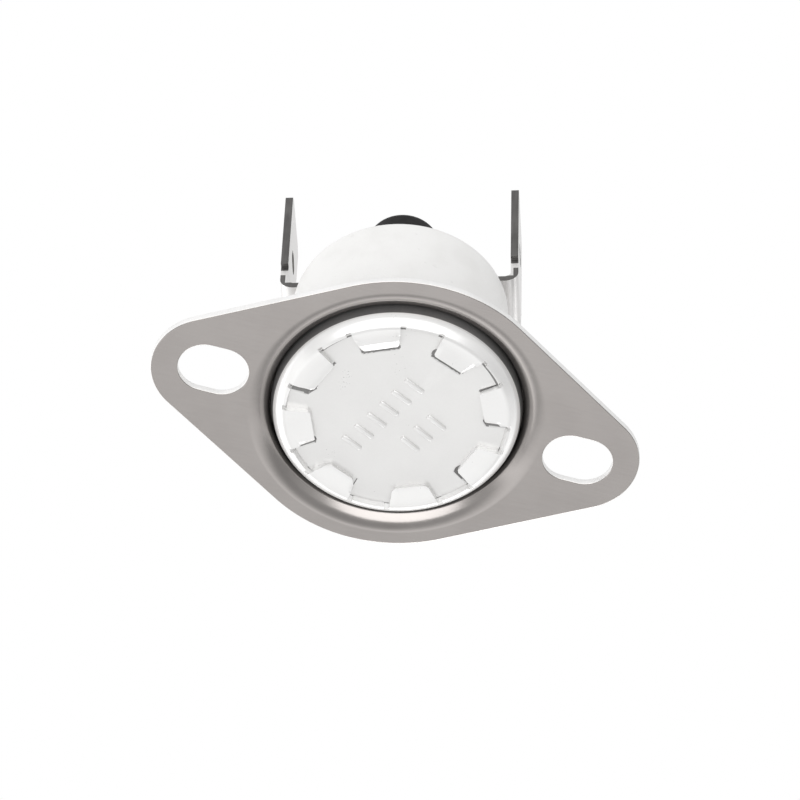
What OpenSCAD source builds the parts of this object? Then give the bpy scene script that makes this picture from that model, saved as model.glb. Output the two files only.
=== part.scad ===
// Snap disc thermostat with a manual reset button and a loose two-slot flange.
// Millimetres. The origin is the middle of the sensing face, +Z points to the terminals,
// and +X runs along the two slots of the flange.

/* [Flange] */
// Distance between the middles of the two slots
slot_pitch = 24; // [23:0.5:27]
// Width of a slot, across its length
slot_w = 3.5; // [3:0.1:4.2]
// Full length of a slot
slot_l = 4.5; // [4.3:0.1:4.9]
// Radius of each rounded end of the flange
flange_end_r = 3.95; // [3.4:0.05:4.6]
// Width of the flat land round the well
flange_land = 0.95; // [0.8:0.05:2]
// Sheet thickness of the flange
flange_t = 0.5; // [0.3:0.05:0.6]
// Radial gap between the head and the wall of the well
well_gap = 0.3; // [0.25:0.05:0.6]
// Front radius of the bend from the land into the well
well_bend_r = 1.1; // [0.65:0.05:1.25]
// Front radius of the corner between the wall and the floor of the well
well_floor_r = 0.95; // [0.8:0.05:1.1]
// Axial play of the flange behind the head
swivel_float = 0.15; // [0.1:0.05:0.3]
// Radial play of the flange hole round the ceramic
neck_gap = 0.3; // [0.2:0.05:0.45]

/* [Sensing head] */
// How far the head stands out of the front face of the flange
head_proud = 0.5; // [0.2:0.05:0.8]
// Sheet thickness of the crimp ring
ring_t = 0.4; // [0.3:0.05:0.5]
// Outer radius of the front corner of the crimp ring
ring_front_r = 1.4; // [1.1:0.05:1.45]
// Outer radius of the rear lip of the crimp ring
ring_rear_r = 0.9; // [0.75:0.05:1]
// How far the front opening between the tabs reaches into the corner radius
lip_cut = 0.45; // [0.3:0.05:0.6]
// Number of tabs folded over the sensing cup
tab_count = 8; // [6:1:9]
// Turn of the first tab from the slot line
tab_turn = 22.5; // [0:0.5:45]
// Width of a tab at its root
tab_root_w = 3.1; // [2.6:0.1:3.6]
// Width of a tab at its tip
tab_tip_w = 2.4; // [1.8:0.1:2.6]
// Reach of a tab beyond the lip
tab_reach = 1.55; // [1.2:0.05:1.8]
// Cut at each corner of a tab's tip
tab_clip = 0.15; // [0.1:0.05:0.3]
// Length of the nose at a tab's tip that is bent down to the cup
tab_nose = 0.6; // [0.3:0.05:0.7]
// Drop of the outer face along that nose
tab_drop = 0.22; // [0.1:0.02:0.26]
// Radius of the relief notch at each side of a tab's root
notch_r = 0.2; // [0.1:0.05:0.3]
// Thickness of the floor of the sensing cup
cup_face_t = 0.5; // [0.35:0.05:0.7]
// Thickness of the wall of the sensing cup
cup_wall_t = 0.4; // [0.3:0.05:0.5]
// Radial play between the crimp ring and what it holds
ring_fit = 0.03; // [0.02:0.01:0.06]

/* [Bimetal disc] */
// Thickness of the disc
disc_t = 0.25; // [0.2:0.05:0.4]
// Height of its dish, which it snaps through in both directions
disc_sag = 0.3; // [0.2:0.05:0.4]
// Gap between the top of the dish and the sensing cup
disc_gap = 0.05; // [0.03:0.01:0.1]
// Radial play of the disc in the sensing cup
disc_play = 0.25; // [0.15:0.05:0.4]

/* [Ceramic body] */
// Diameter of the body behind the head
body_d = 14; // [13.5:0.1:15]
// Radial step of the shoulder that the crimp ring grips
shoulder_step = 0.57; // [0.5:0.01:0.8]
// Thickness of the shoulder
shoulder_h = 1; // [0.8:0.05:1.4]
// Length of the body behind the shoulder
neck_len = 9.4; // [9:0.1:12]
// Wall round the contact chamber
chamber_wall = 1.3; // [1.1:0.05:1.5]
// Thickness of the rear wall
rear_wall = 2.6; // [2:0.1:3]
// Rounding of the rear rim
rim_r = 0.4; // [0.2:0.05:0.8]
// Height of the button's guide boss behind the rear wall
boss_h = 1.2; // [0.6:0.1:2]
// Thickness of the guide boss round the button, where it is round
boss_wall = 1; // [0.8:0.05:1.3]
// Turn of the terminals from the slot line
terminal_turn = -19.5; // [-90:0.5:90]

/* [Guide plate] */
// Height of the guide plate, rim to back
guide_h = 1.7; // [1.4:0.1:2]
// Width of the ledge in the body that carries the plate
guide_ledge = 0.7; // [0.5:0.05:0.8]
// Depth of the dish under the disc
guide_dish = 0.6; // [0.5:0.05:0.8]
// Length of the sleeve round the pin
guide_sleeve = 1.4; // [0.8:0.1:1.6]
// Wall of the sleeve
sleeve_wall = 0.75; // [0.5:0.05:1]

/* [Pin and button] */
// Diameter of the transfer pin
pin_d = 2.4; // [1.8:0.1:2.6]
// Diameter of the reset button
button_d = 4.8; // [4:0.1:5]
// Height of the button above the rear face of the body
button_h = 7.8; // [5:0.1:10]
// Rounding of the button's end
button_edge_r = 0.5; // [0.2:0.05:1]
// Radial step of the collar that keeps the button in
collar_step = 0.35; // [0.25:0.05:0.45]
// Thickness of that collar
collar_t = 0.5; // [0.4:0.05:0.6]
// Gap between the collar and the roof of the chamber when the button is out
collar_gap = 0.2; // [0.1:0.05:0.25]
// Diameter of the button's nose
nose_d = 2; // [1.6:0.1:2.4]
// Radial running clearance of the pin and the button
run_gap = 0.05; // [0.03:0.01:0.08]
// Gap at rest between pieces that push each other
touch_gap = 0.06; // [0.04:0.01:0.08]

/* [Terminals] */
// Width of a blade
blade_w = 4.8; // [4.6:0.1:6.3]
// Thickness of a blade
blade_t = 0.5; // [0.4:0.05:0.8]
// How far the outer face of a blade stands out past the body
blade_out = 0.75; // [0.3:0.05:1.5]
// Height of the blade's end above the rear face of the body
blade_h = 10.4; // [9:0.1:13]
// Width of the foot and of the neck under the blade
neck_w = 4.2; // [3.6:0.1:4.5]
// Height of the shoulder between the neck and the blade
neck_h = 2.3; // [1.5:0.1:3]
// Inner radius of the bend
bend_r = 0.4; // [0.3:0.05:0.6]
// Diameter of the hole in the blade
blade_hole_d = 1.6; // [1.2:0.1:1.8]
// Distance from the blade's end to that hole
blade_hole_drop = 4.6; // [2.5:0.1:5]
// Cut at each corner of the blade's end
blade_clip = 0.5; // [0.2:0.05:0.8]
// Gap between a foot and the flat of the guide boss
foot_gap = 0.1; // [0.05:0.05:0.2]

/* [Rivets and contacts] */
// Diameter of a rivet's shank
rivet_d = 1.6; // [1.2:0.1:1.8]
// Diameter of a rivet's outer head
rivet_head_d = 2.7; // [2.4:0.1:3]
// Height of a rivet's outer head
rivet_head_h = 0.6; // [0.4:0.05:0.9]
// Diameter of a rivet's inner flare
rivet_flare_d = 2; // [1.9:0.1:2.2]
// Height of a rivet's inner flare
rivet_flare_h = 0.4; // [0.3:0.05:0.5]
// Room round a rivet's flare and beside the posts
flare_gap = 0.2; // [0.15:0.05:0.3]
// Play of a rivet in what it holds
rivet_fit = 0.03; // [0.02:0.01:0.05]
// Depth from the roof of the chamber to the contact arm
arm_drop = 2.3; // [2.2:0.05:2.5]
// Thickness of the contact arm
arm_t = 0.3; // [0.2:0.05:0.4]
// Width of the contact arm at its root
arm_w = 3.2; // [2.8:0.1:3.8]
// Radius of the contact arm's tip
arm_tip_r = 0.9; // [0.85:0.05:0.95]
// Gap between the arm's tip and the right post
arm_tip_gap = 0.15; // [0.1:0.05:0.2]
// Thickness of the contact strip
strip_t = 0.6; // [0.4:0.05:0.7]
// Width of the contact strip
strip_w = 3; // [2.6:0.1:3.4]
// Gap between the pin and the contact strip with its contact
strip_gap = 0.2; // [0.15:0.05:0.3]
// Diameter of a contact's face
contact_d = 1.7; // [1.4:0.1:1.7]
// Height of a contact's face
contact_h = 0.5; // [0.4:0.05:0.6]
// Diameter of a contact's tail
tail_d = 0.9; // [0.8:0.05:1]
// Diameter of the moving contact's rear head
tail_head_d = 1.2; // [1.1:0.05:1.4]
// Height of the moving contact's rear head
tail_head_h = 0.2; // [0.15:0.05:0.25]
// Gap between the closed contacts
contact_gap = 0.02; // [0.01:0.01:0.04]

/* [Hidden] */
$fn = 96;

// Overlap of cuts past the faces that they open
cut = 1;
// Overlap where two formed stretches of one piece join
weld = 0.05;
// Inset of the flange's straight sides, so that they cut the round ones cleanly
side_inset = 0.01;
// Steps along the dish of the disc
dish_steps = 10;

// Radii, from the body outwards
body_r = body_d / 2;
shoulder_r = body_r + shoulder_step;
head_r = shoulder_r + ring_fit + ring_t;
well_r = head_r + well_gap;
bend_mid_r = well_r + well_bend_r;
flange_mid_r = bend_mid_r + flange_land;
flange_hole_r = body_r + neck_gap;

// Radii inside the head
lip_front_r = head_r - ring_front_r + lip_cut;
lip_rear_r = head_r - ring_rear_r;
tab_tip_r = lip_front_r - tab_reach;
cup_in_r = shoulder_r - cup_wall_t;
disc_r = cup_in_r - disc_play;

// Radii and places inside the body
chamber_r = body_r - chamber_wall;
guide_r = chamber_r + guide_ledge;
pin_r = pin_d / 2;
button_r = button_d / 2;
strip_x = pin_r + strip_gap;
contact_x = strip_x + contact_d / 2;
post_x = contact_x + arm_tip_r + arm_tip_gap;
rivet_x = post_x + flare_gap + rivet_flare_d / 2;
flare_room_r = (rivet_flare_d + flare_gap) / 2;
foot_x = rivet_x - rivet_head_d / 2;
boss_flat_x = foot_x - foot_gap;
blade_x = body_r + blade_out;

// Heights, from the sensing face to the rear
seat_z = ring_t + cup_face_t + disc_gap + disc_t + disc_sag;
shoulder_z = seat_z + shoulder_h;
ring_h = shoulder_z + ring_t;
well_floor_z = ring_h + swivel_float;
rear_z = shoulder_z + neck_len;
roof_z = rear_z - rear_wall;
arm_rear_z = roof_z - arm_drop;
arm_front_z = arm_rear_z - arm_t;
strip_rear_z = arm_front_z - 2 * contact_h - contact_gap;
strip_front_z = strip_rear_z - strip_t;
ledge_z = seat_z + guide_h;
boss_z = rear_z + boss_h;
head_seat_z = rear_z + blade_t;

// Travel of the pin and the button when the disc snaps through
snap_travel = 2 * disc_sag;

// Quarter of a disc of radius r, turned by a
module quarter(r, a) {
  intersection() {
    circle(r);
    rotate(a) square(r);
  }
}

// Half section of a disc of radius r and height h, with rounded outer corners
module disc_section(r, h, low_r, high_r) {
  translate([0, low_r]) square([r, h - low_r - high_r]);
  square([r - low_r, h - high_r]);
  translate([0, low_r]) square([r - high_r, h - low_r]);
  if (low_r > 0) translate([r - low_r, low_r]) quarter(low_r, -90);
  if (high_r > 0) translate([r - high_r, h - high_r]) quarter(high_r, 0);
}

// Half section of a pin of radius r and length h, with a round end
module domed_section(r, h) {
  square([r, h - r]);
  translate([0, h - r]) quarter(r, 0);
}

// Everything that is set out along the line of the terminals
module along_terminals() {
  rotate([0, 0, terminal_turn]) children();
}

// Outline of the flange: a round middle, two round ends and their tangents
module flange_outline() {
  lean = acos((flange_mid_r - flange_end_r) / (slot_pitch / 2));
  mid = (flange_mid_r - side_inset) * [cos(lean), sin(lean)];
  end = [slot_pitch / 2, 0] + (flange_end_r - side_inset) * [cos(lean), sin(lean)];
  circle(flange_mid_r);
  for (side = [-1, 1]) translate([side * slot_pitch / 2, 0]) circle(flange_end_r);
  polygon([
    mid, end, [end.x, -end.y], [mid.x, -mid.y],
    -mid, -end, [-end.x, end.y], [-mid.x, mid.y]
  ]);
}

// One slot, along X
module slot_outline() {
  run = slot_l - slot_w;
  square([run, slot_w], center = true);
  for (side = [-1, 1]) translate([side * run / 2, 0]) circle(slot_w / 2);
}

// Half section of the well that is drawn into the flange
module well_section() {
  intersection() {
    union() {
      translate([bend_mid_r, head_proud]) square([weld, flange_t]);
      translate([bend_mid_r, head_proud + well_bend_r]) difference() {
        quarter(well_bend_r, 180);
        circle(well_bend_r - flange_t);
      }
      translate([well_r, head_proud + well_bend_r])
        square([flange_t, well_floor_z - well_floor_r - head_proud - well_bend_r]);
      translate([well_r - well_floor_r, well_floor_z - well_floor_r]) difference() {
        quarter(well_floor_r + flange_t, 0);
        circle(well_floor_r);
      }
      translate([0, well_floor_z]) square([well_r - well_floor_r, flange_t]);
    }
    translate([flange_hole_r, 0]) square([flange_mid_r, well_floor_z + cut]);
  }
}

module mounting_flange() {
  color("darkgray") {
    translate([0, 0, head_proud]) linear_extrude(flange_t) difference() {
      flange_outline();
      circle(bend_mid_r);
      for (side = [-1, 1]) translate([side * slot_pitch / 2, 0]) slot_outline();
    }
    rotate_extrude() well_section();
  }
}

// Half section of the crimp ring before its front is opened
module ring_section() {
  difference() {
    disc_section(head_r, ring_h, ring_front_r, ring_rear_r);
    translate([0, ring_t])
      disc_section(head_r - ring_t, ring_h - 2 * ring_t, ring_front_r - ring_t, ring_rear_r - ring_t);
    translate([0, ring_h / 2]) square([lip_rear_r, ring_h / 2 + cut]);
  }
}

// Outline of one folded tab, pointing along X towards the middle
module tab_outline() {
  root_r = lip_front_r + weld;
  polygon([
    [tab_tip_r, -tab_tip_w / 2 + tab_clip], [tab_tip_r + tab_clip, -tab_tip_w / 2],
    [root_r, -tab_root_w / 2], [root_r, tab_root_w / 2],
    [tab_tip_r + tab_clip, tab_tip_w / 2], [tab_tip_r, tab_tip_w / 2 - tab_clip]
  ]);
}

// Wedge taken off the front of one tab, so that its nose slopes down to the cup
module tab_slope() {
  end_r = tab_tip_r - tab_nose;
  rotate([90, 0, 0]) linear_extrude(tab_root_w, center = true) polygon([
    [tab_tip_r + tab_nose, 0], [tab_tip_r + tab_nose, -cut], [end_r, -cut], [end_r, 2 * tab_drop]
  ]);
}

// The two relief notches beside one tab, through the lip
module tab_notches() {
  root_y = tab_root_w / 2;
  root_x = sqrt(pow(lip_front_r, 2) - pow(root_y, 2));
  for (side = [-1, 1]) translate([root_x, side * root_y, -cut]) cylinder(h = 2 * ring_t + cut, r = notch_r);
}

// Its children once for each tab, turned to the tab's place
module at_tabs() {
  for (i = [0 : tab_count - 1]) rotate([0, 0, tab_turn + i * 360 / tab_count]) children();
}

module crimp_ring() {
  color("gainsboro") difference() {
    rotate_extrude() ring_section();
    translate([0, 0, -cut]) linear_extrude(cut + ring_h / 2) difference() {
      circle(lip_front_r);
      at_tabs() tab_outline();
    }
    at_tabs() tab_slope();
    at_tabs() tab_notches();
  }
}

module sensing_cup() {
  cup_h = seat_z - ring_t;
  corner_r = ring_front_r - ring_t;
  color("silver") translate([0, 0, ring_t]) rotate_extrude() difference() {
    disc_section(shoulder_r, cup_h, corner_r, 0);
    translate([0, cup_face_t]) disc_section(cup_in_r, cup_h, corner_r - cup_wall_t, 0);
  }
}

// Height of the disc's rear face at radius r, dished towards the sensing face
function dish_z(r) = seat_z - disc_sag * (1 - pow(r / disc_r, 2));

module bimetal_disc() {
  steps = [for (i = [0 : dish_steps]) i * disc_r / dish_steps];
  color("tan") rotate_extrude() polygon(concat(
    [for (r = steps) [r, dish_z(r) - disc_t]],
    [for (i = [dish_steps : -1 : 0]) [steps[i], dish_z(steps[i])]]
  ));
}

module guide_plate() {
  sleeve_r = pin_r + run_gap + sleeve_wall;
  color("linen") translate([0, 0, seat_z]) difference() {
    union() {
      cylinder(h = guide_h, r = guide_r);
      cylinder(h = guide_h + guide_sleeve, r = sleeve_r);
    }
    translate([0, 0, -cut]) cylinder(h = guide_dish + cut, r = chamber_r);
    translate([0, 0, -cut]) cylinder(h = guide_h + guide_sleeve + 2 * cut, r = pin_r + run_gap);
  }
}

module transfer_pin() {
  front_z = seat_z - disc_sag + touch_gap;
  color("ivory") translate([0, 0, front_z])
    rotate_extrude() domed_section(pin_r, arm_front_z - touch_gap - front_z);
}

// Outline of the contact chamber, made smaller by inset, with room for the rivets' flares
module chamber_outline(inset) {
  circle(chamber_r - inset);
  for (side = [-1, 1]) translate([side * rivet_x, 0]) circle(flare_room_r - inset);
}

// Room in the body for the contacts: round in front, narrowed by the two posts behind
module chamber() {
  translate([0, 0, ledge_z - cut]) linear_extrude(strip_rear_z - ledge_z + cut) chamber_outline(0);
  translate([0, 0, strip_rear_z - cut]) linear_extrude(arm_rear_z - strip_rear_z + cut) intersection() {
    chamber_outline(0);
    translate([-body_r, -body_r]) square([body_r + post_x, body_d]);
  }
  translate([0, 0, arm_rear_z - cut]) linear_extrude(roof_z - arm_rear_z + cut) intersection() {
    chamber_outline(0);
    translate([-post_x, -body_r]) square([2 * post_x, body_d]);
  }
}

module ceramic_body() {
  color("white") along_terminals() difference() {
    union() {
      translate([0, 0, seat_z])
        rotate_extrude() disc_section(shoulder_r, shoulder_h, 0, ring_rear_r - ring_t);
      translate([0, 0, seat_z])
        rotate_extrude() disc_section(body_r, rear_z - seat_z, 0, rim_r);
      intersection() {
        translate([0, 0, rear_z - rim_r]) cylinder(h = boss_h + rim_r, r = button_r + run_gap + boss_wall);
        translate([-boss_flat_x, -body_r, 0]) cube([2 * boss_flat_x, body_d, boss_z]);
      }
    }
    translate([0, 0, seat_z - cut]) cylinder(h = guide_h + cut, r = guide_r + ring_fit);
    chamber();
    translate([0, 0, roof_z - cut]) cylinder(h = boss_z - roof_z + 2 * cut, r = button_r + run_gap);
    for (side = [-1, 1]) translate([side * rivet_x, 0, ledge_z])
      cylinder(h = rear_z - ledge_z + cut, r = rivet_d / 2 + rivet_fit);
  }
}

module contact_arm() {
  color("peru") along_terminals() translate([0, 0, arm_front_z]) linear_extrude(arm_t) difference() {
    intersection() {
      chamber_outline(flare_gap / 2);
      union() {
        polygon([
          [-body_r, -arm_w / 2], [-post_x, -arm_w / 2], [contact_x, -arm_tip_r],
          [contact_x, arm_tip_r], [-post_x, arm_w / 2], [-body_r, arm_w / 2]
        ]);
        translate([contact_x, 0]) circle(arm_tip_r);
      }
    }
    translate([-rivet_x, 0]) circle(rivet_d / 2 + rivet_fit);
    translate([contact_x, 0]) circle(tail_d / 2 + rivet_fit);
  }
}

module moving_contact() {
  color("lightgray") along_terminals() translate([contact_x, 0, arm_front_z]) {
    translate([0, 0, -contact_h]) cylinder(h = contact_h, d = contact_d);
    translate([0, 0, -contact_h / 2]) cylinder(h = contact_h / 2 + arm_t + tail_head_h / 2, d = tail_d);
    translate([0, 0, arm_t]) cylinder(h = tail_head_h, d = tail_head_d);
  }
}

module fixed_contact() {
  color("lightgray") along_terminals() translate([contact_x, 0, strip_rear_z]) {
    cylinder(h = contact_h, d = contact_d);
    translate([0, 0, -strip_t]) cylinder(h = strip_t + contact_h / 2, d = tail_d);
  }
}

module contact_strip() {
  color("goldenrod") along_terminals() translate([0, 0, strip_front_z]) linear_extrude(strip_t) difference() {
    intersection() {
      chamber_outline(flare_gap / 2);
      translate([strip_x, -strip_w / 2]) square([body_r, strip_w]);
    }
    translate([rivet_x, 0]) circle(rivet_d / 2 + rivet_fit);
    translate([contact_x, 0]) circle(tail_d / 2 + rivet_fit);
  }
}

// Side view of a terminal: a foot on the rear face, a bend, and a blade that stands up
module terminal_section() {
  bend_out_r = bend_r + blade_t;
  translate([foot_x, 0]) square([blade_x - bend_out_r - foot_x, blade_t]);
  translate([blade_x - bend_out_r, bend_out_r]) difference() {
    quarter(bend_out_r, -90);
    circle(bend_r);
  }
  translate([blade_x - blade_t, bend_out_r]) square([blade_t, blade_h - bend_out_r]);
}

// Front view of a terminal: a narrow neck, shoulders and a blade with clipped corners
module terminal_outline() {
  translate([-neck_w / 2, 0]) square([neck_w, neck_h + cut]);
  polygon([
    [-blade_w / 2, neck_h], [blade_w / 2, neck_h],
    [blade_w / 2, blade_h - blade_clip], [blade_w / 2 - blade_clip, blade_h],
    [-blade_w / 2 + blade_clip, blade_h], [-blade_w / 2, blade_h - blade_clip]
  ]);
}

// A terminal on the right-hand side
module terminal() {
  color("lightsteelblue") translate([0, 0, rear_z]) difference() {
    intersection() {
      rotate([90, 0, 0]) linear_extrude(2 * blade_w, center = true) terminal_section();
      rotate([90, 0, 90]) linear_extrude(blade_x + cut) terminal_outline();
    }
    translate([rivet_x, 0, -cut]) cylinder(h = blade_t + 2 * cut, r = rivet_d / 2 + rivet_fit);
    translate([blade_x - blade_t - cut, 0, blade_h - blade_hole_drop])
      rotate([0, 90, 0]) cylinder(h = blade_t + 2 * cut, d = blade_hole_d);
  }
}

module left_terminal() {
  along_terminals() rotate([0, 0, 180]) terminal();
}

module right_terminal() {
  along_terminals() terminal();
}

// A rivet on the right-hand side, flared under a piece whose front face is at front_z
module rivet(front_z) {
  color("darkkhaki") translate([rivet_x, 0, 0]) rotate_extrude() {
    translate([0, front_z - rivet_flare_h]) square([rivet_flare_d / 2, rivet_flare_h]);
    translate([0, front_z - rivet_flare_h / 2])
      square([rivet_d / 2, head_seat_z - front_z + (rivet_flare_h + rivet_head_h) / 2]);
    translate([0, head_seat_z]) disc_section(rivet_head_d / 2, rivet_head_h, 0, rivet_head_h / 2);
  }
}

module left_rivet() {
  along_terminals() rotate([0, 0, 180]) rivet(arm_front_z);
}

module right_rivet() {
  along_terminals() rivet(strip_front_z);
}

module reset_button() {
  collar_rear_z = roof_z - snap_travel - collar_gap;
  nose_z = arm_rear_z + touch_gap;
  color("dimgray") rotate_extrude() {
    translate([0, collar_rear_z]) mirror([0, 1]) domed_section(nose_d / 2, collar_rear_z - nose_z);
    translate([0, collar_rear_z - collar_t]) square([button_r + collar_step, collar_t]);
    translate([0, collar_rear_z - collar_t / 2])
      disc_section(button_r, rear_z + button_h - collar_rear_z + collar_t / 2, 0, button_edge_r);
  }
}

mounting_flange();
crimp_ring();
sensing_cup();
bimetal_disc();
guide_plate();
transfer_pin();
ceramic_body();
contact_arm();
moving_contact();
fixed_contact();
contact_strip();
left_terminal();
right_terminal();
left_rivet();
right_rivet();
reset_button();
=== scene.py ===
"""Looks of a snap-disc temperature switch: ceramic body, crimped head, loose flange, blades, reset button.

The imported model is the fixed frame. The visible sheet and ceramic pieces are modelled again with rounded
edges, and each rides on the body of the solid that it stands for. A piece is in millimetres until it is
finished.
"""

import functools
import logging
import math
from collections.abc import Callable, Sequence
from dataclasses import dataclass
from enum import Enum
from typing import Any

import bmesh
import bpy
from bmesh.types import BMEdge, BMFace, BMVert
from bpy.types import ColorRamp, Material, NodeSocket, NodeTree, Object
from mathutils import Matrix, Vector


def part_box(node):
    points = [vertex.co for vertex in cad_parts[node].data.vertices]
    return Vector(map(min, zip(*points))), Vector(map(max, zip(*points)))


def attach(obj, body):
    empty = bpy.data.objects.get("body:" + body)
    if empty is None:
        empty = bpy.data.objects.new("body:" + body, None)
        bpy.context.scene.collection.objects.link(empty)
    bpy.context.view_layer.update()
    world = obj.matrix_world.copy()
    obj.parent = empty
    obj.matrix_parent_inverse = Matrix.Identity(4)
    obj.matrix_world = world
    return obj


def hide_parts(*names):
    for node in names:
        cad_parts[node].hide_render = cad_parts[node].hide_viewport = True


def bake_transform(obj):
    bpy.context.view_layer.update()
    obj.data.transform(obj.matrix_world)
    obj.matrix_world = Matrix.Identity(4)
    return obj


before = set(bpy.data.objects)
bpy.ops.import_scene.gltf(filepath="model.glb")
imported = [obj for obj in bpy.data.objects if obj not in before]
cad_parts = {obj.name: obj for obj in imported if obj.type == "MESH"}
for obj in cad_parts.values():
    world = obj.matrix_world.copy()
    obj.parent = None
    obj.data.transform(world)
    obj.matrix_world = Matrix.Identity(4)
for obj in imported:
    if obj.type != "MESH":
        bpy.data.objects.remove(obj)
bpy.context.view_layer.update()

LOG = logging.getLogger("looks")
MM = 0.001
WELD = 1e-4
FLAT_DEGREES = 0.5
SHARP_DEGREES = 35.0

Colour = tuple[float, float, float]
Point = tuple[float, float, float]
Span = tuple[float, float]


class Wire:
    """An output socket of a node, with arithmetic that adds Math nodes."""

    def __init__(self, graph: "Graph", socket: NodeSocket) -> None:
        """Keeps the graph and the socket."""
        self.graph = graph
        self.socket = socket

    def _math(self, operation: str, *terms: "Wire | float") -> "Wire":
        """Adds a Math node on the given terms."""
        return self.graph.node("ShaderNodeMath", {"operation": operation}, dict(enumerate(terms)))

    def __add__(self, other: "Wire | float") -> "Wire":
        """Adds a wire or a number."""
        return self._math("ADD", self, other)

    __radd__ = __add__

    def __mul__(self, other: "Wire | float") -> "Wire":
        """Multiplies by a wire or a number."""
        return self._math("MULTIPLY", self, other)

    __rmul__ = __mul__

    def __sub__(self, other: "Wire | float") -> "Wire":
        """Takes a wire or a number away."""
        return self._math("SUBTRACT", self, other)

    def __rsub__(self, other: "Wire | float") -> "Wire":
        """Takes this wire away from a number."""
        return self._math("SUBTRACT", other, self)

    def between(self, low: float, high: float) -> "Wire":
        """Spreads the values from low to high over 0 to 1, with soft ends.

        Args:
            low: Value that becomes 0.
            high: Value that becomes 1.

        Returns:
            The spread value.
        """
        limits = {"Value": self, "From Min": low, "From Max": high}
        return self.graph.node("ShaderNodeMapRange", {"interpolation_type": "SMOOTHSTEP"}, limits)


class Graph:
    """The nodes of one material or of the world."""

    def __init__(self, tree: NodeTree) -> None:
        """Empties the tree and keeps it."""
        self.tree = tree
        tree.nodes.clear()

    @classmethod
    def of_material(cls, name: str) -> tuple["Graph", Material]:
        """Makes a material with an empty graph.

        Args:
            name: Name of the material.

        Returns:
            The graph and the material.
        """
        made = bpy.data.materials.new(name)
        made.use_nodes = True
        return cls(made.node_tree), made

    def node(
        self, kind: str, settings: dict[str, Any], inputs: dict[Any, Any], output: int | str = 0
    ) -> Wire | None:
        """Adds a node.

        Args:
            kind: Type name of the node.
            settings: Properties of the node, which are set before its sockets, or a ramp's stops.
            inputs: Values or wires of its sockets, by name or place.
            output: Name or place of the output that is wanted.

        Returns:
            The wanted output, or None for a node that has none.
        """
        made = self.tree.nodes.new(kind)
        for name, value in settings.items():
            if name == "stops":
                self._set_stops(made.color_ramp, value)
            else:
                setattr(made, name, value)
        for key, value in inputs.items():
            if isinstance(value, Wire):
                self.tree.links.new(value.socket, made.inputs[key])
            else:
                made.inputs[key].default_value = value
        return Wire(self, made.outputs[output]) if made.outputs else None

    @staticmethod
    def _set_stops(ramp: ColorRamp, stops: Sequence[Span]) -> None:
        """Sets the stops of a grey ramp.

        Args:
            ramp: The ramp, with its two first stops.
            stops: Place and grey of each stop, in order.
        """
        for place, _ in stops[2:]:
            ramp.elements.new(place)
        for element, (place, grey) in zip(ramp.elements, stops):
            element.position = place
            element.color = (grey, grey, grey, 1.0)

    def millimetres(self, scale: Point = (1.0, 1.0, 1.0)) -> Wire:
        """Gives the object coordinates in millimetres, drawn out by an extra scale.

        Args:
            scale: Extra scale along each axis; a small number draws a pattern out along that axis.

        Returns:
            The coordinates.
        """
        place = self.node("ShaderNodeTexCoord", {}, {}, "Object")
        return self.node("ShaderNodeMapping", {}, {"Vector": place, "Scale": Vector(scale) / MM})

    def noise(self, place: Wire, per_mm: float, detail: float = 2.0) -> Wire:
        """Adds a noise.

        Args:
            place: Coordinates in millimetres.
            per_mm: Number of cells in a millimetre.
            detail: Number of finer layers.

        Returns:
            The noise, about 0.5.
        """
        return self.node("ShaderNodeTexNoise", {}, {"Vector": place, "Scale": per_mm, "Detail": detail})

    def mix(self, share: Wire, first: Colour, second: Colour) -> Wire:
        """Mixes two colours.

        Args:
            share: 0 for the first colour and 1 for the second.
            first: Linear colour.
            second: Linear colour.

        Returns:
            The mixed colour.
        """
        settings = {"data_type": "RGBA"}
        return self.node("ShaderNodeMix", settings, {0: share, 6: (*first, 1.0), 7: (*second, 1.0)}, 2)

    def bump(self, height: Wire, relief: float) -> Wire:
        """Gives the normal of a fine relief.

        Args:
            height: Height from 0 to 1.
            relief: Depth of the relief in millimetres.

        Returns:
            The normal.
        """
        return self.node("ShaderNodeBump", {}, {"Height": height, "Distance": relief * MM, "Strength": 1.0})

    def surface(self, inputs: dict[str, Any]) -> None:
        """Ends the graph in a surface with the given sockets."""
        shader = self.node("ShaderNodeBsdfPrincipled", {}, inputs)
        self.node("ShaderNodeOutputMaterial", {}, {"Surface": shader})


class Run(Enum):
    """Way that the fine marks of a metal run, as the scale that draws them out."""

    ALONG_X = (0.07, 1.0, 1.0)
    ALONG_Z = (1.0, 1.0, 0.07)
    EVEN = (1.0, 1.0, 1.0)


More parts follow.
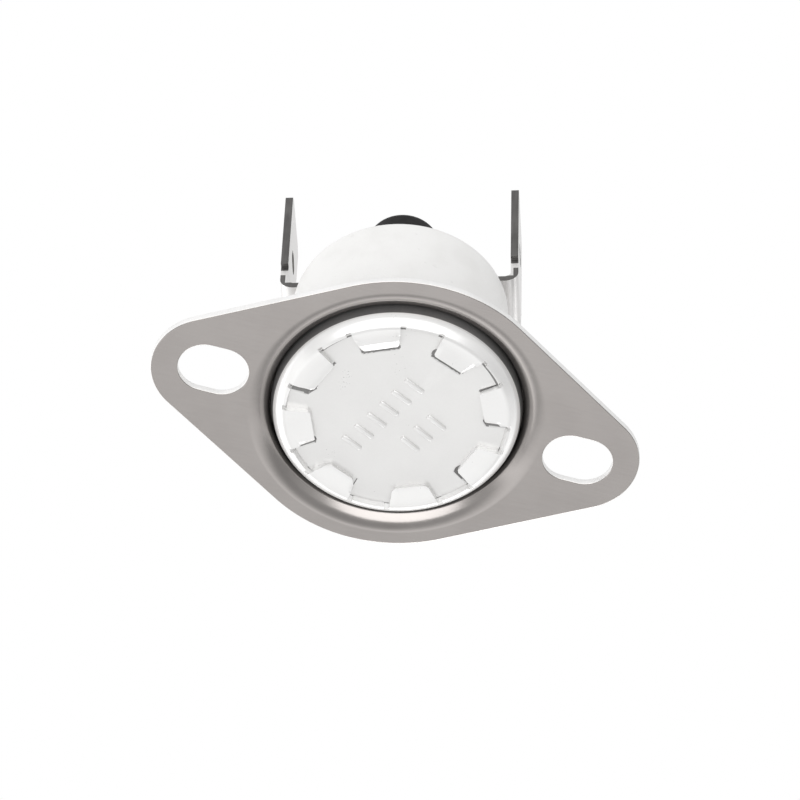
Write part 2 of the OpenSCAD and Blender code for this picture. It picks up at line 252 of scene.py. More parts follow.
@dataclass(frozen=True)
class MetalFinish:
    """Satin metal with a cloudy tone, a fine grain and marks along its run."""

    name: str
    light: Colour
    dark: Colour
    roughness: Span
    run: Run = Run.EVEN
    relief: float = 0.004
    metallic: float = 1.0
    marks_per_mm: float = 9.0
    marks_span: Span = (0.15, 0.85)
    grain_per_mm: float = 22.5
    clouds_per_mm: float = 0.35
    clouds_span: Span = (0.3, 0.7)
    clouds_in_tone: float = 0.6
    marks_in_relief: float = 0.6

    @functools.cache
    def material(self) -> Material:
        """Builds the material of this finish, once.

        Returns:
            The material.
        """
        graph, made = Graph.of_material(self.name)
        place = graph.millimetres()
        clouds = graph.noise(place, self.clouds_per_mm, detail=3.0).between(*self.clouds_span)
        marks = graph.noise(graph.millimetres(self.run.value), self.marks_per_mm)
        grain = graph.noise(place, self.grain_per_mm, detail=1.0)
        tone = self.clouds_in_tone * clouds + (1 - self.clouds_in_tone) * marks.between(*self.marks_span)
        height = self.marks_in_relief * marks + (1 - self.marks_in_relief) * grain
        low, high = self.roughness
        graph.surface({
            "Base Color": graph.mix(tone, self.dark, self.light),
            "Metallic": self.metallic,
            "Roughness": low + (high - low) * (0.5 * marks + 0.5 * clouds),
            "Normal": graph.bump(height, self.relief),
        })
        return made


@dataclass(frozen=True)
class CeramicFinish:
    """Unglazed white ceramic: fine matt skin, faint warm clouds and a few pits."""

    name: str = "white_ceramic"
    light: Colour = (0.84, 0.836, 0.826)
    dark: Colour = (0.8, 0.794, 0.781)
    roughness: Span = (0.42, 0.6)
    skin_per_mm: float = 7.0
    relief: float = 0.012
    clouds_per_mm: float = 0.45
    clouds_span: Span = (0.25, 0.6)
    pits_per_mm: float = 2.2
    pits_span: Span = (0.74, 0.8)
    pit_shade: float = 0.5
    pit_depth: float = 1.5

    @functools.cache
    def material(self) -> Material:
        """Builds the material of this finish, once.

        Returns:
            The material.
        """
        graph, made = Graph.of_material(self.name)
        place = graph.millimetres()
        clouds = graph.noise(place, self.clouds_per_mm, detail=3.0).between(*self.clouds_span)
        skin = graph.noise(place, self.skin_per_mm, detail=3.0)
        pits = graph.noise(place, self.pits_per_mm, detail=1.0).between(*self.pits_span)
        low, high = self.roughness
        graph.surface({
            "Base Color": graph.mix(clouds * (1 - self.pit_shade * pits), self.dark, self.light),
            "Roughness": low + (high - low) * skin,
            "Normal": graph.bump(skin - self.pit_depth * pits, self.relief),
        })
        return made


@dataclass(frozen=True)
class PhenolicFinish:
    """Black moulded phenolic: mottled tone, slightly glossy skin with a fine orange peel."""

    name: str = "black_phenolic"
    light: Colour = (0.02, 0.0195, 0.02)
    dark: Colour = (0.01, 0.0095, 0.01)
    roughness: Span = (0.32, 0.5)
    gloss: float = 0.12
    skin_per_mm: float = 5.0
    relief: float = 0.006
    mottle_per_mm: float = 1.6
    mottle_span: Span = (0.3, 0.7)

    @functools.cache
    def material(self) -> Material:
        """Builds the material of this finish, once.

        Returns:
            The material.
        """
        graph, made = Graph.of_material(self.name)
        place = graph.millimetres()
        mottle = graph.noise(place, self.mottle_per_mm, detail=4.0).between(*self.mottle_span)
        skin = graph.noise(place, self.skin_per_mm)
        low, high = self.roughness
        graph.surface({
            "Base Color": graph.mix(mottle, self.dark, self.light),
            "Roughness": low + (high - low) * (0.5 * skin + 0.5 * mottle),
            "Specular IOR Level": self.gloss,
            "Normal": graph.bump(skin, self.relief),
        })
        return made


FLANGE_SATIN = MetalFinish(
    "flange_satin_steel", (0.418, 0.394, 0.379), (0.382, 0.358, 0.345), (0.2, 0.26), Run.ALONG_X, relief=0.002
)
# Cut edge of the flange sheet: bare steel, painted near white as a painted highlight along the edge.
FLANGE_CUT_EDGE_HIGHLIGHT = MetalFinish(
    "flange_cut_edge_highlight", (0.92, 0.915, 0.91), (0.82, 0.815, 0.81), (0.3, 0.4), Run.ALONG_Z, metallic=0.4
)
HEAD_BRIGHT = MetalFinish(
    "head_bright_aluminium", (0.85, 0.846, 0.838), (0.81, 0.806, 0.798), (0.26, 0.34),
    relief=0.001, metallic=0.5,
)
# Painted shade: the ring's wall behind the shoulder, down in the groove, is painted dark to stand for the
# shade there.
HEAD_WALL_PAINTED_SHADE = MetalFinish(
    "head_wall_painted_shade", (0.2, 0.197, 0.195), (0.14, 0.138, 0.137), (0.35, 0.45), metallic=0.5
)
PLATE_SATIN = MetalFinish(
    "plate_satin_aluminium", (0.78, 0.775, 0.766), (0.74, 0.735, 0.726), (0.26, 0.34),
    relief=0.001, metallic=0.5,
)
# Painted shadow: dark tone on the plate in the dents beside the tabs and in the gap behind the lip.
PLATE_PAINTED_SHADOW = MetalFinish(
    "plate_dent_painted_shadow", (0.3, 0.295, 0.29), (0.18, 0.177, 0.175), (0.35, 0.45), metallic=0.6
)
TIN_PLATE = MetalFinish(
    "terminal_tin_plate", (0.84, 0.83, 0.82), (0.74, 0.73, 0.72), (0.28, 0.42), Run.ALONG_Z
)
# Cut edges of the terminals: bare sheared metal, painted darker than its own tone as painted shade.
TIN_CUT_EDGE_SHADE = MetalFinish(
    "terminal_cut_edge_shade", (0.2, 0.195, 0.19), (0.1, 0.097, 0.095), (0.35, 0.5), Run.ALONG_Z
)
RIVET_NICKEL = MetalFinish(
    "rivet_nickel_plate", (0.74, 0.72, 0.68), (0.64, 0.62, 0.58), (0.22, 0.36)
)
SPRING_BRONZE = MetalFinish(
    "spring_bronze_strip", (0.75, 0.47, 0.25), (0.62, 0.36, 0.17), (0.24, 0.38), Run.ALONG_X
)
CONTACT_SILVER = MetalFinish(
    "contact_silver_alloy", (0.88, 0.86, 0.82), (0.74, 0.71, 0.66), (0.3, 0.45)
)
BIMETAL_SHEET = MetalFinish(
    "bimetal_rolled_sheet", (0.58, 0.52, 0.43), (0.47, 0.42, 0.35), (0.26, 0.4), Run.ALONG_X
)
WHITE_CERAMIC = CeramicFinish()
BLACK_PHENOLIC = PhenolicFinish()

Finish = MetalFinish | CeramicFinish | PhenolicFinish


@dataclass(frozen=True)
class Corner:
    """A corner of a half section: its radius, its height and where its rounding starts on both sides."""

    r: float
    z: float
    fillet: float = 0.0


class Blank:
    """A workpiece in millimetres, shaped with mesh operators and finished as an object."""

    def __init__(self) -> None:
        """Starts with an empty mesh."""
        self.bm = bmesh.new()

    @classmethod
    def from_node(cls, node: str) -> "Blank":
        """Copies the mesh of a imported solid, with its doubles merged and its flat faces joined.

        Args:
            node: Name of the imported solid.

        Returns:
            The workpiece.
        """
        blank = cls()
        blank.bm.from_mesh(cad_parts[node].data)
        bmesh.ops.scale(blank.bm, vec=Vector((1, 1, 1)) / MM, verts=blank.bm.verts)
        blank.weld(turn=False)
        bmesh.ops.dissolve_limit(
            blank.bm, angle_limit=math.radians(FLAT_DEGREES), verts=blank.bm.verts, edges=blank.bm.edges
        )
        return blank

    def weld(self, turn: bool = True) -> None:
        """Merges doubled vertices.

        Args:
            turn: Whether the normals are worked out again afterwards.
        """
        bmesh.ops.remove_doubles(self.bm, verts=self.bm.verts, dist=WELD)
        if turn:
            bmesh.ops.recalc_face_normals(self.bm, faces=self.bm.faces)

    def section(self, corners: Sequence[Corner], segments: int = 10) -> None:
        """Draws an open half section beside the axis, with its corners rounded.

        Args:
            corners: Corners in order.
            segments: Steps of each rounded corner.
        """
        verts = [self.bm.verts.new((corner.r, 0.0, corner.z)) for corner in corners]
        for first, second in zip(verts, verts[1:]):
            self.bm.edges.new((first, second))
        for corner, vert in zip(corners, verts):
            if corner.fillet > 0:
                bmesh.ops.bevel(
                    self.bm, geom=[vert], offset=corner.fillet, offset_type="OFFSET", segments=segments,
                    profile=0.5, affect="VERTICES", material=-1, clamp_overlap=False,
                )

    def revolve(self, steps: int) -> None:
        """Turns all that is drawn through a full turn about the axis, and closes its seam and poles.

        Args:
            steps: Number of columns round the axis.
        """
        drawn = self.bm.verts[:] + self.bm.edges[:]
        bmesh.ops.spin(
            self.bm, geom=drawn, cent=(0, 0, 0), axis=(0, 0, 1), angle=math.tau, steps=steps, use_merge=True
        )
        self.weld()

    def face_front(self) -> None:
        """Turns an open sheet so that its foremost face looks to the front."""
        front = min(self.bm.faces, key=lambda face: face.calc_center_median().z)
        if front.normal.z > 0:
            bmesh.ops.reverse_faces(self.bm, faces=self.bm.faces)

    def arc(self, centre: Vector, radius: float, start: float, turn: float, steps: int) -> list[BMVert]:
        """Draws an arc by turning one vertex.

        Args:
            centre: Centre of the arc.
            radius: Radius of the arc.
            start: Angle of its first vertex.
            turn: Angle that it covers.
            steps: Number of its edges.

        Returns:
            The vertices of the arc, in order.
        """
        path = [self.bm.verts.new(centre + radius * Vector((math.cos(start), math.sin(start), 0)))]
        bmesh.ops.spin(self.bm, geom=path[:], cent=centre, axis=(0, 0, 1), angle=turn, steps=steps)
        while len(path) <= steps:
            path.append(path[-1].link_edges[-1].other_vert(path[-1]))
        return path

    def loop(self, arcs: Sequence[list[BMVert]]) -> None:
        """Joins arcs end to end into a closed loop."""
        for arc, after in zip(arcs, [*arcs[1:], arcs[0]]):
            self.bm.edges.new((arc[-1], after[0]))

    def cut(self, spot: Vector, normal: Vector) -> None:
        """Divides the faces along a plane."""
        geometry = self.bm.verts[:] + self.bm.edges[:] + self.bm.faces[:]
        bmesh.ops.bisect_plane(self.bm, geom=geometry, plane_co=spot, plane_no=normal, dist=WELD)

    def soften(self, width: float, segments: int = 2) -> None:
        """Rounds the sharp edges.

        Args:
            width: Width of the rounding on each face.
            segments: Steps of the rounding.
        """
        limit = math.radians(SHARP_DEGREES)
        sharp = [edge for edge in self.bm.edges if edge.is_manifold and edge.calc_face_angle() > limit]
        bmesh.ops.bevel(
            self.bm, geom=sharp, offset=width, offset_type="OFFSET", segments=segments, profile=0.5,
            affect="EDGES", material=-1, clamp_overlap=True, loop_slide=True,
        )

    def paint(self, index: int, wanted: Callable[[BMFace], bool]) -> None:
        """Gives a material place to the faces that a test picks.

        Args:
            index: Material place.
            wanted: Test of a face.
        """
        for face in self.bm.faces:
            if wanted(face):
                face.material_index = index

    def finish(self, name: str, finishes: Sequence[Finish], crease: float = 50.0) -> Object:
        """Turns the workpiece into an object in metres, with smooth faces and its finishes.

        Args:
            name: Name of the piece.
            finishes: Finishes in the order of their material places.
            crease: Angle in degrees past which an edge stays sharp.

        Returns:
            The piece, at the origin.
        """
        bmesh.ops.scale(self.bm, vec=Vector((MM, MM, MM)), verts=self.bm.verts)
        mesh = bpy.data.meshes.new(name)
        self.bm.to_mesh(mesh)
        self.bm.free()
        mesh.shade_smooth()
        mesh.set_sharp_from_angle(angle=math.radians(crease))
        for finish in finishes:
            mesh.materials.append(finish.material())
        piece = bpy.data.objects.new(name, mesh)
        bpy.context.scene.collection.objects.link(piece)
        shading = piece.modifiers.new("even_shading", "WEIGHTED_NORMAL")
        shading.keep_sharp = True
        return piece


def seat(piece: Object, body: str, node: str) -> None:
    """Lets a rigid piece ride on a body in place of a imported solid.

    Args:
        piece: The finished piece.
        body: Body that it moves with.
        node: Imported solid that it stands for.
    """
    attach(piece, body)
    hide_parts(node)
    LOG.info("%s stands for %s on %s: %d faces", piece.name, node, body, len(piece.data.polygons))


def dress_node(node: str, finish: Finish) -> None:
    """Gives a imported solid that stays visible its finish.

    Args:
        node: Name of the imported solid.
        finish: Its finish.
    """
    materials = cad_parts[node].data.materials
    materials.clear()
    materials.append(finish.material())
    LOG.info("%s keeps its packed shape", node)


@dataclass(frozen=True)
class Fold:
    """How one tab was pressed; drops and dents are those at its nose, its near side and its far side.

    The near side is the one at the smaller angle, and the turn counts columns of the ring.
    """

    turn: int
    reach: float
    clip: float
    drop: Point
    dent: Point


@dataclass
class CrimpedHead:
    """Sensing head: a drawn ring with eight folded tabs, and the bright plate that they hold."""

    ring_r: float = 8.0
    ring_h: float = 2.9
    ring_t: float = 0.4
    front_r: float = 7.12
    front_fillet: float = 0.17
    cone: Span = (7.6, 0.37)
    shoulder: Span = (7.84, 0.72)
    cone_fillet: float = 0.15
    wall_z: float = 1.4
    wall_fillet: float = 0.3
    rear_fillet: float = 0.89
    rear_lip_r: float = 7.1
    edge_round: float = 0.03
    crease: float = 18.0
    fold_r: float = 6.6
    lip_r: float = 7.06
    notch_r: float = 7.3
    notch_columns: int = 2
    steps: int = 256
    tab_columns: int = 9
    column_play: float = 0.1
    tab_tip_r: float = 5.5
    tab_taper: float = 0.83
    tab_rows: tuple[float, ...] = (0.25, 0.6, 1.0)
    tab_lean: float = 0.06
    border_columns: int = 2
    nose_slope: float = 0.46
    nose_min: float = 0.2
    folds: tuple[Fold, ...] = (
        Fold(-3, 0.0, 0.12, (0.0, 0.0, 0.0), (0.0, 0.0, 0.16)),
        Fold(-2, 0.0, 0.2, (0.02, 0.0, 0.03), (0.0, 0.0, 0.02)),
        Fold(0, 0.0, 0.35, (0.02, 0.05, 0.0), (0.0, 0.05, 0.0)),
        Fold(-1, 0.15, 0.12, (0.0, 0.17, 0.0), (0.02, 0.13, 0.0)),
        Fold(-3, 0.0, 0.12, (0.06, 0.0, 0.0), (0.06, 0.28, 0.0)),
        Fold(-3, 0.2, 0.12, (0.33, 0.05, 0.05), (0.1, 0.04, 0.0)),
        Fold(-1, 0.1, 0.12, (0.0, 0.05, 0.17), (0.16, 0.0, 0.02)),
        Fold(-2, 0.0, 0.12, (0.0, 0.0, 0.18), (0.0, 0.06, 0.18)),
    )
    plate_r: float = 7.57
    plate_flat_r: float = 6.95
    plate_fillets: Point = (0.05, 0.15, 0.25)
    plate_z: float = 0.4
    plate_back: float = 1.5
    plate_bore: float = 7.17
    plate_floor: float = 0.9
    dent_slope: float = 0.42
    dent_fade: float = 3.0
    # Least depth of dent that gets the painted shadow.
    dent_shadow_depth: float = 0.025
    dent_rings: tuple[float, float, int] = (5.0, 6.92, 43)
    # Radius and angle span of the gap behind the lip that gets the painted shadow.
    gap_shadow: tuple[float, float, float] = (6.78, -160.0, -30.0)
    mark_rows: tuple[tuple[Point, float, int], ...] = (
        ((-0.86, 0.1, -65.0), 1.2, 6),
        ((2.0, 0.78, -62.0), 1.2, 3),
    )
    mark_size: Point = (0.36, 1.5, 0.26)
    mark_bevel: float = 0.1

    def tab_angle(self, tab: int) -> float:
        """Gives the angle of a tab's middle."""
        return (tab + 0.5) * math.tau / len(self.folds) + self.folds[tab].turn * math.tau / self.steps

    def off_tab(self, place: Vector, tab: int) -> float:
        """Gives the angle from a tab's middle to a place, within half a turn either way."""
        return (math.atan2(place.y, place.x) - self.tab_angle(tab) + math.pi) % math.tau - math.pi

    def half_width(self, share: float) -> float:
        """Gives half the width of a tab at a share of the way from its fold to its tip."""
        root = self.fold_r * math.sin(self.tab_columns * math.tau / self.steps)
        return root * (1.0 - share * (1.0 - self.tab_taper))

    def columns_off(self, place: Vector) -> float:
        """Gives the number of columns from the middle of the nearest tab to a place."""
        return min(abs(self.off_tab(place, tab)) for tab in range(len(self.folds))) * self.steps / math.tau

    def open_lip(self, blank: Blank) -> None:
        """Takes the lip away between the tabs, and a little more in a relief notch beside each root.

        Args:
            blank: Workpiece of the ring.
        """
        near = self.tab_columns - self.column_play
        far = self.tab_columns + self.notch_columns + self.column_play

        def is_open(face: BMFace) -> bool:
            """Tells whether a face of the lip lies between two tabs.

            Args:
                face: Face of the lip.

            Returns:
                Whether it is taken away.
            """
            off = [self.columns_off(vert.co) for vert in face.verts]
            reach = self.notch_r if max(off) < far else self.lip_r
            return min(off) > near and all(v.co.xy.length < reach for v in face.verts)

        lip = [f for f in blank.bm.faces if all(v.co.z < self.cone[1] - WELD for v in f.verts)]
        bmesh.ops.delete(blank.bm, geom=[face for face in lip if is_open(face)], context="FACES")

    def tab_point(self, fold: Fold, share: float, across: float) -> Vector:
        """Gives a point on the front of a tab, in the tab's own axes.

        Args:
            fold: How the tab was pressed.
            share: Share of the way from the fold, 0, to the tip, 1.
            across: Place across the tab, from -1 on its near side to 1 on its far side.

        Returns:
            The point.
        """
        nose, near, far = fold.drop
        y = across * self.half_width(share)
        root = math.sqrt(self.fold_r**2 - (across * self.half_width(0.0)) ** 2)
        tip = self.tab_tip_r - fold.reach + max(0.0, abs(y) - self.half_width(1.0) + fold.clip)
        side = max(0.0, 1.0 - (1.0 - abs(across)) * self.tab_columns / self.border_columns)
        drop = max(side * (near if across < 0 else far), nose if share == 1.0 else 0.0)
        run = share * (root - tip)
        return Vector((root - run, y, drop + self.tab_lean * run))

    def fold_tab(self, blank: Blank, tab: int) -> None:
        """Extrudes one tab, row by row, from its fold over the plate.

        Args:
            blank: Workpiece of the ring.
            tab: Number of the tab.
        """
        fold = self.folds[tab]
        turn = Matrix.Rotation(self.tab_angle(tab), 3, "Z")
        reach = (self.tab_columns + self.column_play) * math.tau / self.steps

        def on_fold(vert: BMVert) -> bool:
            """Tells whether a vertex lies in this tab's fold."""
            return vert.co.xy.length < self.fold_r + WELD and abs(self.off_tab(vert.co, tab)) < reach

        row = [edge for edge in blank.bm.edges if edge.is_boundary and all(map(on_fold, edge.verts))]
        nose = max(fold.drop[0] / self.nose_slope, self.nose_min)
        bend = 1.0 - nose / (self.fold_r - self.tab_tip_r + fold.reach)
        width = self.half_width(0.0)
        for share in (*(part * bend for part in self.tab_rows), 1.0):
            made = bmesh.ops.extrude_edge_only(blank.bm, edges=row)["geom"]
            for vert in (item for item in made if isinstance(item, BMVert)):
                vert.co = turn @ self.tab_point(fold, share, (turn.inverted() @ vert.co).y / width)
            row = [item for item in made if isinstance(item, BMEdge)]
            width = self.half_width(share)

    def build_ring(self) -> Blank:
        """Models the ring as a sheet, folds its tabs and gives it its thickness.

        Returns:
            Workpiece of the ring.
        """
        blank = Blank()
        blank.section([
            Corner(self.rear_lip_r, self.ring_h),
            Corner(self.ring_r, self.ring_h, self.rear_fillet),
            Corner(self.ring_r, self.wall_z, self.wall_fillet),
            Corner(*self.shoulder, self.cone_fillet),
            Corner(*self.cone, self.cone_fillet),
            Corner(self.front_r, 0.0, self.front_fillet),
            Corner(self.fold_r, 0.0),
        ])
        blank.revolve(self.steps)
        blank.face_front()
        self.open_lip(blank)
        for tab in range(len(self.folds)):
            self.fold_tab(blank, tab)
        bmesh.ops.recalc_face_normals(blank.bm, faces=blank.bm.faces)
        blank.face_front()
        bmesh.ops.solidify(blank.bm, geom=blank.bm.faces[:], thickness=self.ring_t)
        for vert in blank.bm.verts:
            if vert.co.xy.length < self.fold_r - WELD:
                vert.co.z = min(vert.co.z, self.plate_z)
        # Painted shade: faces behind the shoulder take the dark wall finish.
        blank.paint(1, lambda face: face.calc_center_median().z > self.shoulder[1])
        blank.soften(self.edge_round)
        return blank

    def dent(self, place: Vector) -> float:
        """Gives the depth of the dent that the nearest pressed tab leaves in the plate.

        Args:
            place: Place on the plate.

        Returns:
            The depth there.
        """
        tab = min(range(len(self.folds)), key=lambda number: abs(self.off_tab(place, number)))
        fold = self.folds[tab]
        x, y, _ = Matrix.Rotation(-self.tab_angle(tab), 3, "Z") @ place
        tip = self.tab_tip_r - fold.reach
        half = self.half_width((self.fold_r - x) / (self.fold_r - tip))
        aside = self.dent_fade * max(0.0, abs(y) - half)
        beyond = self.dent_fade * max(0.0, tip - x)
        offs = (abs(tip - x) + aside, abs(y + half) + beyond, abs(y - half) + beyond)
        return max(0.0, *(depth - self.dent_slope * off for depth, off in zip(fold.dent, offs)))

    def is_painted_shadow(self, face: BMFace) -> bool:
        """Tells whether a face of the plate gets painted shadow: in a dent, or in the shaded gap behind the
        lip.

        Args:
            face: Face of the plate.

        Returns:
            Whether it gets the painted shadow.
        """
        place = face.calc_center_median()
        low, high, _ = self.dent_rings
        gap, start, end = self.gap_shadow
        turn = math.degrees(math.atan2(place.y, place.x))
        in_gap = place.xy.length > gap and start < turn < end
        in_ring = low < place.xy.length < high and place.z < self.plate_floor
        return in_ring and (in_gap or self.dent(place) > self.dent_shadow_depth)

    def raise_marks(self, blank: Blank) -> None:
        """Adds the two rows of plain raised bars.

        Args:
            blank: Workpiece of the plate.
        """
        for (x, y, lean), pitch, count in self.mark_rows:
            along = Matrix.Translation((x, y, self.plate_z)) @ Matrix.Rotation(math.radians(lean), 4, "Z")
            for mark in range(count):
                step = Matrix.Translation(((mark - (count - 1) / 2) * pitch, 0, 0))
                spot = along @ step @ Matrix.Diagonal((*self.mark_size, 1))
                verts = bmesh.ops.create_cube(blank.bm, size=1.0, matrix=spot)["verts"]
                edges = list({edge for vert in verts for edge in vert.link_edges})
                bmesh.ops.bevel(
                    blank.bm, geom=edges, offset=self.mark_bevel, offset_type="OFFSET", segments=2,
                    profile=0.5, affect="EDGES", material=-1,
                )

    def build_plate(self) -> Blank:
        """Models the shallow cup whose floor is the plate, with the dents of the tabs and the raised bars.

        Returns:
            Workpiece of the plate.
        """
        blank = Blank()
        low, high, rings = self.dent_rings
        edge, shoulder, floor = self.plate_fillets
        blank.section([
            Corner(0.0, self.plate_z),
            *(Corner(low + (high - low) * ring / rings, self.plate_z) for ring in range(rings + 1)),
            Corner(self.plate_flat_r, self.plate_z, edge),
            Corner(self.plate_r, self.plate_z + self.plate_r - self.plate_flat_r, shoulder),
            Corner(self.plate_r, self.plate_back),
            Corner(self.plate_bore, self.plate_back),
            Corner(self.plate_bore, self.plate_floor, floor),
            Corner(0.0, self.plate_floor),
        ])
        blank.revolve(2 * self.steps)
        for vert in blank.bm.verts:
            if vert.co.z < self.plate_z + WELD and low < vert.co.xy.length < high:
                vert.co.z += self.dent(vert.co)
        # Painted shadow in the dents beside the tabs and in the gap behind the lip.
        blank.paint(1, self.is_painted_shadow)
        self.raise_marks(blank)
        return blank

    def build(self) -> None:
        """Builds the ring and the plate and seats them on the housing."""
        ring = self.build_ring().finish("crimped_ring", [HEAD_BRIGHT, HEAD_WALL_PAINTED_SHADE], self.crease)
        seat(ring, "housing", "crimp_ring")
        plate = self.build_plate().finish("sensing_plate", [PLATE_SATIN, PLATE_PAINTED_SHADOW])
        seat(plate, "housing", "sensing_cup")


@dataclass
class LooseFlange:
    """Stamped flange: a flat land with two slots and a drawn well round the head."""

    sheet_t: float = 0.5
    front_z: float = 0.5
    land_r: float = 10.35
    land_steps: int = 48
    end_r: float = 3.95
    end_x: float = 12.0
    end_steps: int = 40
    slot_r: float = 1.75
    slot_shift: float = 0.5
    slot_steps: int = 28
    bend: Corner = Corner(9.0, 0.5, 0.45)
    well: Corner = Corner(8.08, 1.168, 0.3)
    floor_z: float = 3.05
    floor_r: float = 0.7
    hole_r: float = 7.3
    steps: int = 192
    rim_margin: float = 0.03
    border: float = 0.1
    upright: float = 0.2
    edge_round: float = 0.07

    def draw_land(self, blank: Blank) -> list[BMEdge]:
        """Draws the outline and the two slots.

        Args:
            blank: Workpiece of the flange.

        Returns:
            The edges of the three loops.
        """
        before = set(blank.bm.edges)
        lean = math.acos((self.land_r - self.end_r) / self.end_x)
        middle = Vector((0, 0, self.front_z))
        shift = Vector((self.end_x, 0, 0))
        blank.loop([
            blank.arc(middle + shift, self.end_r, -lean, 2 * lean, self.end_steps),
            blank.arc(middle, self.land_r, lean, math.pi - 2 * lean, self.land_steps),
            blank.arc(middle - shift, self.end_r, math.pi - lean, 2 * lean, self.end_steps),
            blank.arc(middle, self.land_r, math.pi + lean, math.pi - 2 * lean, self.land_steps),
        ])
        for side in (-1, 1):
            spot = middle + side * shift
            play = Vector((self.slot_shift, 0, 0))
            blank.loop([
                blank.arc(spot + play, self.slot_r, -math.pi / 2, math.pi, self.slot_steps),
                blank.arc(spot - play, self.slot_r, math.pi / 2, math.pi, self.slot_steps),
            ])
        return [edge for edge in blank.bm.edges if edge not in before]

    def build_sheet(self) -> Blank:
        """Models the front of the sheet, then its thickness and its rounded edges.

        Returns:
            Workpiece of the flange.
        """
        blank = Blank()
        blank.section([
            Corner(self.bend.r + self.bend.fillet + self.rim_margin, self.front_z),
            self.bend,
            self.well,
            Corner(self.well.r, self.floor_z, self.floor_r),
            Corner(self.hole_r, self.floor_z),
        ])
        blank.revolve(self.steps)
        limit = self.front_z + WELD
        rim = [e for e in blank.bm.edges if e.is_boundary and all(v.co.z < limit for v in e.verts)]
        land = bmesh.ops.triangle_fill(
            blank.bm, edges=rim + self.draw_land(blank), use_beauty=True, normal=(0, 0, -1)
        )["geom"]
        faces = [item for item in land if isinstance(item, BMFace)]
        bmesh.ops.inset_region(
            blank.bm, faces=faces, thickness=self.border, use_boundary=True, use_even_offset=True
        )
        bmesh.ops.recalc_face_normals(blank.bm, faces=blank.bm.faces)
        blank.face_front()
        bmesh.ops.solidify(blank.bm, geom=blank.bm.faces[:], thickness=self.sheet_t)
        # The cut edges of the land get a near-white finish: bare steel, lightened as a painted highlight
        # along the edge.
        blank.paint(1, self.is_cut_edge_with_painted_light)
        blank.soften(self.edge_round)
        return blank

    def is_cut_edge_with_painted_light(self, face: BMFace) -> bool:
        """Tells whether a face is a cut edge of the land, which gets a near-white finish as a painted
        highlight.
        """
        on_land = face.calc_center_median().xy.length > self.bend.r + self.bend.fillet
        return on_land and abs(face.normal.z) < self.upright

    def build(self) -> None:
        """Builds the flange and seats it on its own body."""
        piece = self.build_sheet().finish("flange_sheet", [FLANGE_SATIN, FLANGE_CUT_EDGE_HIGHLIGHT])
        seat(piece, "flange", "mounting_flange")


class Side(Enum):
    """Side of the body that a terminal stands on."""

    LEFT = "left"
    RIGHT = "right"

    def direction(self) -> Vector:
        """Gives the direction from the middle of the body to this side.

        Returns:
            The level unit vector.
        """
        low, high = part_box(f"{self.value}_rivet")
        return Vector(((low + high).x, (low + high).y, 0)).normalized()


@dataclass
class BladeTerminal:
    """L-shaped blade: plated faces, and cut edges painted dark, partly for the bare sheared metal and partly
    as painted shade, with bands left bright as painted highlights.
    """

    side: Side
    edge_round: float = 0.04
    # Heights and a split across the edge that bound the bands of cut edge left bright as painted highlights.
    foot_z: float = 12.45
    glint_z: float = 13.3
    neck_z: float = 13.8
    break_out: float = 7.42
    tip_h: float = 0.2
    least_turn: float = 0.3
    under_turn: float = -0.5

    def build(self) -> None:
        """Builds the terminal, with its cut edges dark on blade and foot as bare metal and painted shade, and
        dresses its rivet.
        """
        node = f"{self.side.value}_terminal"
        up = Vector((0, 0, 1))
        out = self.side.direction()
        across = up.cross(out)
        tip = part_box(node)[1].z / MM - self.tip_h
        blank = Blank.from_node(node)

        def is_cut_edge_with_painted_light(face: BMFace) -> bool:
            """Tells whether a face is a bare cut edge of the strip that gets the dark finish, partly bare
            metal and partly painted shade, outside the bands left bright as painted highlights.

            Args:
                face: Face of the terminal.

            Returns:
                Whether it is dark.
            """
            spot = face.calc_center_median()
            # The glint band and the lower inner part of the foot's edge stay bright as painted highlights;
            # the shoulder's underside is darkened as painted shade.
            painted_glint = self.glint_z < spot.z < self.neck_z
            painted_highlight = self.foot_z < spot.z < self.glint_z and spot.dot(out) < self.break_out
            shoulder = face.normal.z < self.under_turn and spot.z > self.neck_z
            edge = abs(face.normal.dot(across)) > self.least_turn and not painted_glint and not painted_highlight
            return spot.z > tip or shoulder or edge

        for height in (self.foot_z, self.glint_z, self.neck_z):
            blank.cut(up * height, up)
        blank.cut(out * self.break_out, out)
        blank.soften(self.edge_round)
        # Cut edges take the dark finish, partly bare metal and partly painted shade.
        blank.paint(1, is_cut_edge_with_painted_light)
        blade = blank.finish(f"{self.side.value}_blade", [TIN_PLATE, TIN_CUT_EDGE_SHADE])
        seat(blade, "housing", node)
        dress_node(f"{self.side.value}_rivet", RIVET_NICKEL)


@dataclass
class CeramicHousing:
    """White ceramic body with the parts that sit in it."""

    edge_round: float = 0.12

    def build(self) -> None:
        """Builds the body with rounded edges and dresses the parts in it."""
        blank = Blank.from_node("ceramic_body")
        blank.soften(self.edge_round, segments=3)
        seat(blank.finish("ceramic_shell", [WHITE_CERAMIC]), "housing", "ceramic_body")
        dress_node("guide_plate", WHITE_CERAMIC)
        dress_node("transfer_pin", WHITE_CERAMIC)
        dress_node("reset_button", BLACK_PHENOLIC)
        dress_node("bimetal_disc", BIMETAL_SHEET)


